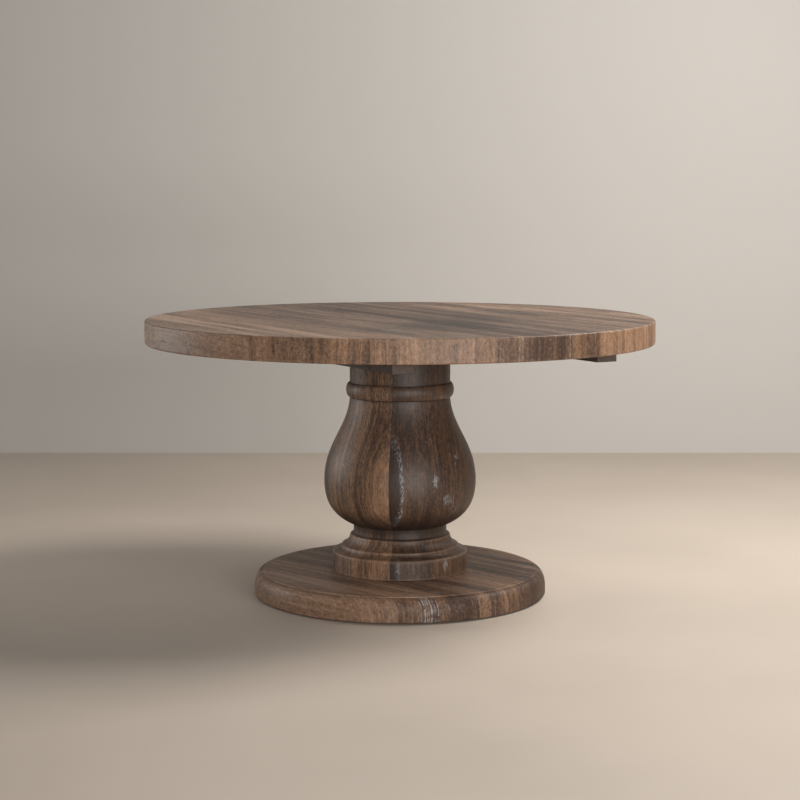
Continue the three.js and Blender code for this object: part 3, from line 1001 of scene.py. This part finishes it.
class TABLE_OT_foot(bpy.types.Operator):
    """Builds the nine boards of the round foot, with the pockets for its bolts."""

    bl_idname = "table.build_foot"
    bl_label = "Foot boards"

    def execute(self, context):
        ready_groups()
        settings = context.scene.table_foot
        low, high = span(FOOT_NODES)
        finish = context.scene.table_finish
        material = board_material(
            "Foot wood", finish, FOOT_TURN, high.z, 0.95, 0.20, [], FOOT_WAX, (120.0, 9.0, 9.0)
        )
        r = radius_of(FOOT_NODES)
        e = settings.edge_round
        flat, step = settings.flat_radius, settings.step
        lip = 0.8 * MM
        crown = high.z - step
        outline = [(r - e - 8 * MM, low.z), *arc((r - e, low.z + e), e, e, -90, 0, 5)]
        outline += [(r, low.z + 12 * MM), (r, low.z + 22 * MM)]
        shoulder = (r, low.z + 23 * MM)
        outline += bezier(shoulder, (r, crown - 19 * MM), (r - 9 * MM, crown), (r - 22 * MM, crown), 14)
        outline += [(flat + 1.4 * MM, crown), (flat + 0.5 * MM, crown + 0.3 * MM)]
        outline += [(flat, crown + step - 0.7 * MM)]
        outline += [*arc((flat - lip, high.z - lip), lip, lip, 0, 90, 3), (flat - 8 * MM, high.z)]

        def wear(a, z, radius):
            near = 1.0 if radius > r - 6 * MM else 0.25
            return 0.4 * MM * near * abs(wander(a * 7, z * 40, 8.8))

        arris = arris_near([(r, low.z), (flat, high.z)], 4 * MM)
        glue_up(FOOT_NODES, FOOT_CHARACTER, 21, FOOT_TURN, outline, 0.4 * MM, wear, arris,
                material, "foot_wood", self.holes(low.z, high.z + 5 * MM))
        return {"FINISHED"}

    def holes(self, low, above):
        """Pockets and holes for the tie rod and the lag bolts, with their place across the boards."""
        back = Matrix.Rotation(-FOOT_TURN, 3, "Z")
        washer = span(["tie_rod_washer_bottom"])
        rod = radius_of(["tie_rod"]) + GLUE_LINE
        pocket = radius_of(["tie_rod_washer_bottom"]) + 2 * MM
        seat = washer[1].z + GLUE_LINE
        found = [(bore_cutter(pocket, low, seat), 0.0, pocket)]
        found.append((bore_cutter(rod, seat, above, 0.0), 0.0, rod))
        pocket, shank = 13 * MM, 5.3 * MM
        for i in range(1, 5):
            x, y, z = back @ Vector(foot_point(f"lag_bolt_{i}"))
            top = z + 7 * MM
            found.append((bore_cutter(pocket, low, top + GLUE_LINE, at=(x, y)), x, pocket))
            found.append((bore_cutter(shank, top, above, 0.0, (x, y)), x, shank))
        return found


class TABLE_OT_column(bpy.types.Operator):
    """Builds the turned column from its four glued quarters."""

    bl_idname = "table.build_column"
    bl_label = "Column"

    def execute(self, context):
        ready_groups()
        c = context.scene.table_column
        material = column_material(context.scene.table_finish)
        low, high = span(QUARTER_NODES)
        outline = self.outline(c, low.z, high.z)
        marks = self.edge_marks(outline)
        for i, node in enumerate(QUARTER_NODES):
            mesh = self.quarter(node + "_wood", outline, marks, i)
            # the last value is the quarter's painted shade
            tone, warmth, contrast, facing, follow, core_tone, core_wax, stain = QUARTER_CHARACTER[i]
            set_values(
                mesh,
                board_seed=float(47 - i),
                board_tone=tone,
                board_warmth=warmth,
                board_contrast=contrast,
                figure_facing=math.radians(facing),
                figure_follow=follow,
                core_tone=core_tone,
                core_wax=core_wax,
                board_stain=stain,
            )
            mesh.transform(Matrix.Rotation(COLUMN_TURN, 4, "Z"))
            place(node + "_wood", mesh, material, "column_wood", [node])
        return {"FINISHED"}

    def outline(self, c, low, high):
        """The turned profile as (radius, height), bottom to top."""
        drum_top, cove_top, collar_top = 122 * MM, 137 * MM, 167 * MM
        bulb_bottom, bulb_widest, bulb_top = 195 * MM, 314 * MM, 541 * MM
        bead_middle, bead_half, bead_deep = 562 * MM, 20 * MM, 10 * MM
        r = c.drum_radius
        profile = [(r - 1 * MM, low), (r, low + 1 * MM), (r, low + 8 * MM), (r, low + 24 * MM)]
        profile += [(r, drum_top - 12 * MM), *arc((r - 5 * MM, drum_top - 5 * MM), 5 * MM, 5 * MM, 0, 90, 7)]
        profile += bezier((175 * MM, drum_top + 1 * MM), (166 * MM, drum_top + 2 * MM), (161 * MM, 128 * MM),
                          (160 * MM, cove_top - 3 * MM), 8)
        r = c.collar_radius
        profile += bezier((159 * MM, cove_top), (146 * MM, 142 * MM), (139 * MM, 150 * MM), (r, 161 * MM), 10)
        profile += [(r - 0.6 * MM, collar_top - 3 * MM), (r - 2 * MM, collar_top - 1.2 * MM)]
        profile += [(r - 4 * MM, collar_top - 0.4 * MM), (c.lower_neck + 2 * MM, collar_top)]
        profile += [(c.lower_neck, collar_top + 2 * MM), (c.lower_neck, collar_top + 14 * MM)]
        profile += [(c.lower_neck, bulb_bottom - 2 * MM), (c.lower_neck + 1 * MM, bulb_bottom)]
        r = c.bulb_radius
        profile += bezier((131 * MM, bulb_bottom), (180 * MM, 216 * MM), (r, 250 * MM), (r, bulb_widest), 30)
        neck = (c.neck_radius, bulb_top)
        profile += bezier((r, bulb_widest), (r, 413 * MM), (142 * MM, 457 * MM), neck, 42)[1:]
        profile += arc((c.neck_radius, bead_middle), bead_deep, bead_half, -82, 82, 18)
        profile += [(c.neck_radius, bead_middle + bead_half)]
        top = bead_middle + bead_half
        steps = 6
        profile += [(c.neck_radius, top + (high - 1 * MM - top) * k / steps) for k in range(1, steps + 1)]
        profile += [(c.neck_radius - 1 * MM, high), (c.bore, high)]
        profile += [(c.bore, low + (high - low) * k / 8) for k in range(7, 0, -1)]
        profile += [(c.bore, low)]
        return profile

    def edge_marks(self, outline):
        """Arris and crease strength at each outline point, from how the profile turns there."""
        points = [Vector(p) for p in outline]
        marks = []
        for i, here in enumerate(points):
            before = self.beyond(here, points[i::-1])
            after = self.beyond(here, points[i:])
            turn = 0.0
            if before != here and after != here:
                turn = (here - before).angle_signed(after - here) / 1.2
            marks.append((max(0.0, min(1.0, -turn)), max(0.0, min(1.0, turn))))
        return marks

    def beyond(self, here, points):
        """The first of the points that lies 4 mm or more away, or else the last."""
        return next((p for p in points if (p - here).length >= 4 * MM), points[-1])

    def quarter(self, name, outline, marks, index):
        """One quarter: a sector of the turning between two flat glue faces."""
        half_gap = GLUE_LINE / 2
        ease = 0.35 * MM
        steps = 44
        turn = Matrix.Rotation(math.pi / 2 * index, 3, "Z")
        bm = bmesh.new()
        arris = bm.verts.layers.float.new("arris")
        crease = bm.verts.layers.float.new("crease")
        columns = []
        for k in range(-1, steps + 2):
            column = []
            for (r, z), (edge, fold) in zip(outline, marks):
                side = math.asin(half_gap / r)
                width = math.pi / 2 - 2 * side
                inset = ease / r
                a = side + inset + (width - 2 * inset) * k / steps
                if k < 0 or k > steps:
                    a = side if k < 0 else side + width
                    r -= ease
                # the first glue face looks to the front, the quarter lies to its right
                v = bm.verts.new(turn @ Vector((r * math.sin(a), -r * math.cos(a), z)))
                v[arris] = edge
                v[crease] = fold
                column.append(v)
            columns.append(column)
        for left, right in zip(columns, columns[1:]):
            skin(bm, left, right)
        bm.faces.new(columns[0])
        bm.faces.new(list(reversed(columns[-1])))
        return finish_mesh(bm, name, 30.0)


class TABLE_OT_battens(bpy.types.Operator):
    """Builds the runners, cross battens and mounting plate under the top."""

    bl_idname = "table.build_battens"
    bl_label = "Battens and plate"

    def execute(self, context):
        ready_groups()
        ease = context.scene.table_fittings.batten_ease
        material = batten_material(context.scene.table_finish)
        screws = screw_places().values()
        for i, node in enumerate([*RUNNER_NODES, *CROSS_NODES, "mounting_plate"]):
            low, high = local_span(node, TOP_TURN)
            above = high.z + 2 * MM
            mesh = sawn_board(node + "_wood", low, high, ease, i * 3.7)
            here = [s for s in screws if low.x < s.x < high.x and low.y < s.y < high.y]
            cutters = [bore_cutter(5.3 * MM, low.z, above, 0.5 * MM, (s.x, s.y)) for s in here]
            if node == "mounting_plate":
                washer = span(["tie_rod_washer_top"])
                pocket = radius_of(["tie_rod_washer_top"]) + 2 * MM
                cutters.append(bore_cutter(radius_of(["tie_rod"]) + GLUE_LINE, low.z, above, 0.5 * MM))
                cutters.append(bore_cutter(pocket, washer[0].z - GLUE_LINE, above, 0.0))
            mesh = cut_away(mesh, cutters)
            across = math.pi / 2 if node in CROSS_NODES else 0.0
            set_values(mesh, board_seed=float(i + 61), grain_across=across)
            mesh.transform(Matrix.Rotation(TOP_TURN, 4, "Z"))
            place(node + "_wood", mesh, material, "batten_wood", [node], weighted=True)
        return {"FINISHED"}


class TABLE_OT_fittings(bpy.types.Operator):
    """Builds the screws, lag bolts, tie rod, nuts and washers."""

    bl_idname = "table.build_fittings"
    bl_label = "Screws and bolts"

    def execute(self, context):
        ready_groups()
        f = context.scene.table_fittings
        material = zinc_material(context.scene.table_finish)
        self.screws(material)
        self.lag_bolts(material, f)
        self.tie_rod(material, f)
        return {"FINISHED"}

    def screws(self, material):
        head, core, length = 5.0 * MM, 2.5 * MM, 60 * MM
        shank = core - 0.4 * MM
        outline = [(0, 0), (head - 0.3 * MM, 0), (head, 0.3 * MM), (head, 0.8 * MM)]
        outline += [(core + 0.1 * MM, 0.8 * MM + head - core), (shank, 4.2 * MM), (shank, 20 * MM)]
        outline += thread_outline(core, 20 * MM, length - 6 * MM, 2.4 * MM, 0.7 * MM)
        outline += [(0.4 * MM, length - 0.5 * MM), (0, length)]
        mesh = turned_mesh("wood_screw", outline, 24)
        mesh = cut_away(mesh, [self.recess(angle) for angle in (0, math.pi / 2)], 30)
        for node, spot in screw_places().items():
            world = Matrix.Rotation(TOP_TURN, 3, "Z") @ spot
            turn = (spot.x * 37 + spot.y * 23) % 1.5
            place(node + "_steel", mesh, material, "zinc_steel", [node], turn, world)

    def recess(self, angle):
        """One tapering slot of a cross recess."""
        bm = bmesh.new()
        bmesh.ops.create_cube(bm, size=1.0)
        for v in bm.verts:
            top = v.co.z > 0
            v.co.x *= 2.6 * MM if top else 5.4 * MM
            v.co.y *= 0.7 * MM if top else 1.1 * MM
            v.co.z = 2.2 * MM if top else -0.5 * MM
        bmesh.ops.rotate(bm, verts=bm.verts, matrix=Matrix.Rotation(angle, 3, "Z"))
        return finish_mesh(bm, "recess")

    def lag_bolts(self, material, f):
        head, shank, plain = 7 * MM, 5 * MM, 30 * MM
        for i in range(1, 5):
            node = f"lag_bolt_{i}"
            low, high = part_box(node)
            tall = high.z - low.z
            outline = [(0, head - 1 * MM), (shank, head - 1 * MM), (shank, head + plain)]
            outline += thread_outline(shank, head + plain, tall - 10 * MM, 3.5 * MM, 1.0 * MM)
            outline += [(0.6 * MM, tall - 0.6 * MM), (0, tall)]
            bm = bmesh.new()
            bm.from_mesh(hexagon_mesh(node, f.bolt_flats, 0.0, head, chamfer_top=False))
            bm.from_mesh(turned_mesh("shank", outline, 28))
            mesh = finish_mesh(bm, node + "_steel", 28.0)
            place(node + "_steel", mesh, material, "zinc_steel", [node], 0.4 * i, foot_point(node))

    def tie_rod(self, material, f):
        low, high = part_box("tie_rod")
        radius = radius_of(["tie_rod"])
        pitch, e = f.thread_pitch, 0.4 * MM
        outline = [(0, low.z), (radius - 1.0 * MM, low.z)]
        outline += thread_outline(radius, low.z + 1 * MM, low.z + 45 * MM, pitch, 0.9 * MM)
        outline += thread_outline(radius, high.z - 45 * MM, high.z - 2 * MM, pitch, 0.9 * MM)
        outline += [(radius - 1.2 * MM, high.z), (0, high.z)]
        mesh = turned_mesh("tie_rod_steel", outline, 32, 28.0)
        place("tie_rod_steel", mesh, material, "zinc_steel", ["tie_rod"])
        for end in ("bottom", "top"):
            node = f"tie_rod_washer_{end}"
            low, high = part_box(node)
            outer, inner = radius_of([node]), radius + 0.4 * MM
            outline = [(inner, low.z + e), (inner + e, low.z), (outer - e, low.z), (outer, low.z + e)]
            outline += [(outer, high.z - e), (outer - e, high.z), (inner + e, high.z), (inner, high.z - e)]
            mesh = turned_mesh(node + "_steel", outline, 64)
            place(node + "_steel", mesh, material, "zinc_steel", [node])
            node = f"tie_rod_nut_{end}"
            low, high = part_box(node)
            mesh = hexagon_mesh(node + "_steel", f.nut_flats, low.z, high.z, radius + 0.1 * MM)
            place(node + "_steel", mesh, material, "zinc_steel", [node], COLUMN_TURN)


class TABLE_OT_glides(bpy.types.Operator):
    """Builds the nylon glides under the foot."""

    bl_idname = "table.build_glides"
    bl_label = "Glides"

    def execute(self, context):
        ready_groups()
        material = nylon_material(context.scene.table_finish)
        nail, pad = 1.5 * MM, 3.7 * MM
        for i in range(1, 7):
            node = f"glide_{i}"
            low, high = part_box(node)
            r = radius_of([node])
            outline = [(0, 1.0 * MM), (3.2 * MM, 0.9 * MM), (3.6 * MM, 0.3 * MM), (4.2 * MM, 0)]
            outline += [(r - 3 * MM, 0), *arc((r - 2 * MM, 1.5 * MM), 2 * MM, 1.5 * MM, -70, 0, 5)]
            outline += [(r, pad - 0.5 * MM), (r - 0.5 * MM, pad), (nail + 0.3 * MM, pad)]
            outline += [(nail, pad + 0.3 * MM), (nail, high.z - 3 * MM), (0, high.z)]
            mesh = turned_mesh(node + "_nylon", outline, 48)
            place(node + "_nylon", mesh, material, "glide_nylon", [node], at=foot_point(node))
        return {"FINISHED"}


class TABLE_OT_stage(bpy.types.Operator):
    """Sets up the floor, the backdrop, the lights and the camera."""

    bl_idname = "table.build_stage"
    bl_label = "Stage"

    def execute(self, context):
        s = context.scene.table_stage
        self.floor(s)
        self.backdrop(s)
        self.camera(context, s)
        self.lights(context, s)
        context.scene.view_settings.view_transform = "Standard"
        return {"FINISHED"}

    def surface(self, name, corners, sheet):
        """A plain sheet that can be seen only from its front, so that it hides nothing from behind."""
        clear = sheet.add("ShaderNodeBsdfTransparent").outputs[0]
        back = sheet.add("ShaderNodeNewGeometry").outputs["Backfacing"]
        choose = sheet.wire(sheet.add("ShaderNodeMixShader"), back, sheet.shader.outputs[0], clear)
        sheet.feed(sheet.output.inputs[0], choose)
        mesh = bpy.data.meshes.new(name)
        mesh.from_pydata(corners, [], [(0, 1, 2, 3)])
        mesh.materials.append(sheet.material)
        obj = bpy.data.objects.new(name, mesh)
        bpy.context.scene.collection.objects.link(obj)

    def floor(self, s):
        sheet = new_material("Pale floor")
        cloud = sheet.place().noise(1.3, 3.0).fade(0.3, 0.7)
        sheet.fill(sheet.shader, Base_Color=sheet.mix(cloud, rgba(s.floor), rgba(s.floor, 0.93)))
        sheet.shader.inputs["Roughness"].default_value = 0.6
        wide = 14.0
        self.surface("floor", [(-wide, -wide, 0), (wide, -wide, 0), (wide, wide, 0), (-wide, wide, 0)], sheet)

    def backdrop(self, s):
        sheet = new_material("Backdrop")
        sheet.shader.inputs["Base Color"].default_value = rgba(s.backdrop)
        sheet.shader.inputs["Roughness"].default_value = 0.9
        y, wide, tall = s.backdrop_back, 14.0, 6.0
        self.surface("backdrop", [(-wide, y, 0), (wide, y, 0), (wide, y, tall), (-wide, y, tall)], sheet)

    def camera(self, context, s):
        lens = bpy.data.cameras.new("camera")
        lens.lens = s.lens
        lens.sensor_width = 36.0
        lens.clip_end = 100.0
        camera = bpy.data.objects.new("camera", lens)
        camera.location = (0, -s.camera_back, s.camera_height)
        camera.rotation_euler = (math.pi / 2 - s.camera_pitch, 0, 0)
        context.scene.collection.objects.link(camera)
        context.scene.camera = camera

    def soft_light(self, name, at, toward, size, power, colour):
        data = bpy.data.lights.new(name, "AREA")
        data.shape = "RECTANGLE"
        data.size, data.size_y = size
        data.energy = power
        data.color = colour
        light = bpy.data.objects.new(name, data)
        light.location = at
        light.rotation_euler = (Vector(toward) - Vector(at)).to_track_quat("-Z", "Y").to_euler()
        light.visible_camera = False
        bpy.context.scene.collection.objects.link(light)
        return data

    def lights(self, context, s):
        middle, column = (0, 0, 0.45), (0, 0, 0.40)
        self.soft_light("key", (2.3, 0.25, 2.9), middle, (1.6, 1.6), s.key_light, (1.0, 0.97, 0.93))
        self.soft_light("fill", (1.7, -4.5, 0.9), middle, (3.0, 1.6), s.fill_light, (1.0, 0.98, 0.96))
        side = self.soft_light("side", (-2.6, 0.7, 0.9), column, (0.9, 1.2), s.side_light, (1.0, 0.98, 0.95))
        side.spread = math.radians(70)
        world = bpy.data.worlds.new("studio")
        world.use_nodes = True
        sky = world.node_tree.nodes["Background"]
        sky.inputs["Color"].default_value = (0.95, 0.97, 1.0, 1.0)
        sky.inputs["Strength"].default_value = s.ambient
        context.scene.world = world


class TABLE_PT_sidebar(bpy.types.Panel):
    """Lists the table's pieces and their settings."""

    bl_idname = "TABLE_PT_sidebar"
    bl_label = "Pedestal table"
    bl_space_type = "VIEW_3D"
    bl_region_type = "UI"
    bl_category = "Table"

    def draw(self, context):
        layout = self.layout
        scene = context.scene
        for operator in OPERATORS:
            layout.operator(operator.bl_idname)
        for name in SETTINGS:
            box = layout.box()
            group = getattr(scene, name)
            for key in group.__annotations__:
                box.prop(group, key)


SETTINGS = {
    "table_finish": FinishSettings,
    "table_top": TopSettings,
    "table_column": ColumnSettings,
    "table_foot": FootSettings,
    "table_fittings": FittingSettings,
    "table_stage": StageSettings,
}
OPERATORS = (
    TABLE_OT_top,
    TABLE_OT_column,
    TABLE_OT_foot,
    TABLE_OT_battens,
    TABLE_OT_fittings,
    TABLE_OT_glides,
    TABLE_OT_stage,
)


def register():
    for cls in (*SETTINGS.values(), *OPERATORS, TABLE_PT_sidebar):
        bpy.utils.register_class(cls)
    for name, cls in SETTINGS.items():
        setattr(bpy.types.Scene, name, bpy.props.PointerProperty(type=cls))


def unregister():
    for name in SETTINGS:
        delattr(bpy.types.Scene, name)
    for cls in reversed((*SETTINGS.values(), *OPERATORS, TABLE_PT_sidebar)):
        bpy.utils.unregister_class(cls)


def main():
    register()
    bpy.ops.table.build_top()
    bpy.ops.table.build_column()
    bpy.ops.table.build_foot()
    bpy.ops.table.build_battens()
    bpy.ops.table.build_fittings()
    bpy.ops.table.build_glides()
    bpy.ops.table.build_stage()


if __name__ == "__main__":
    main()
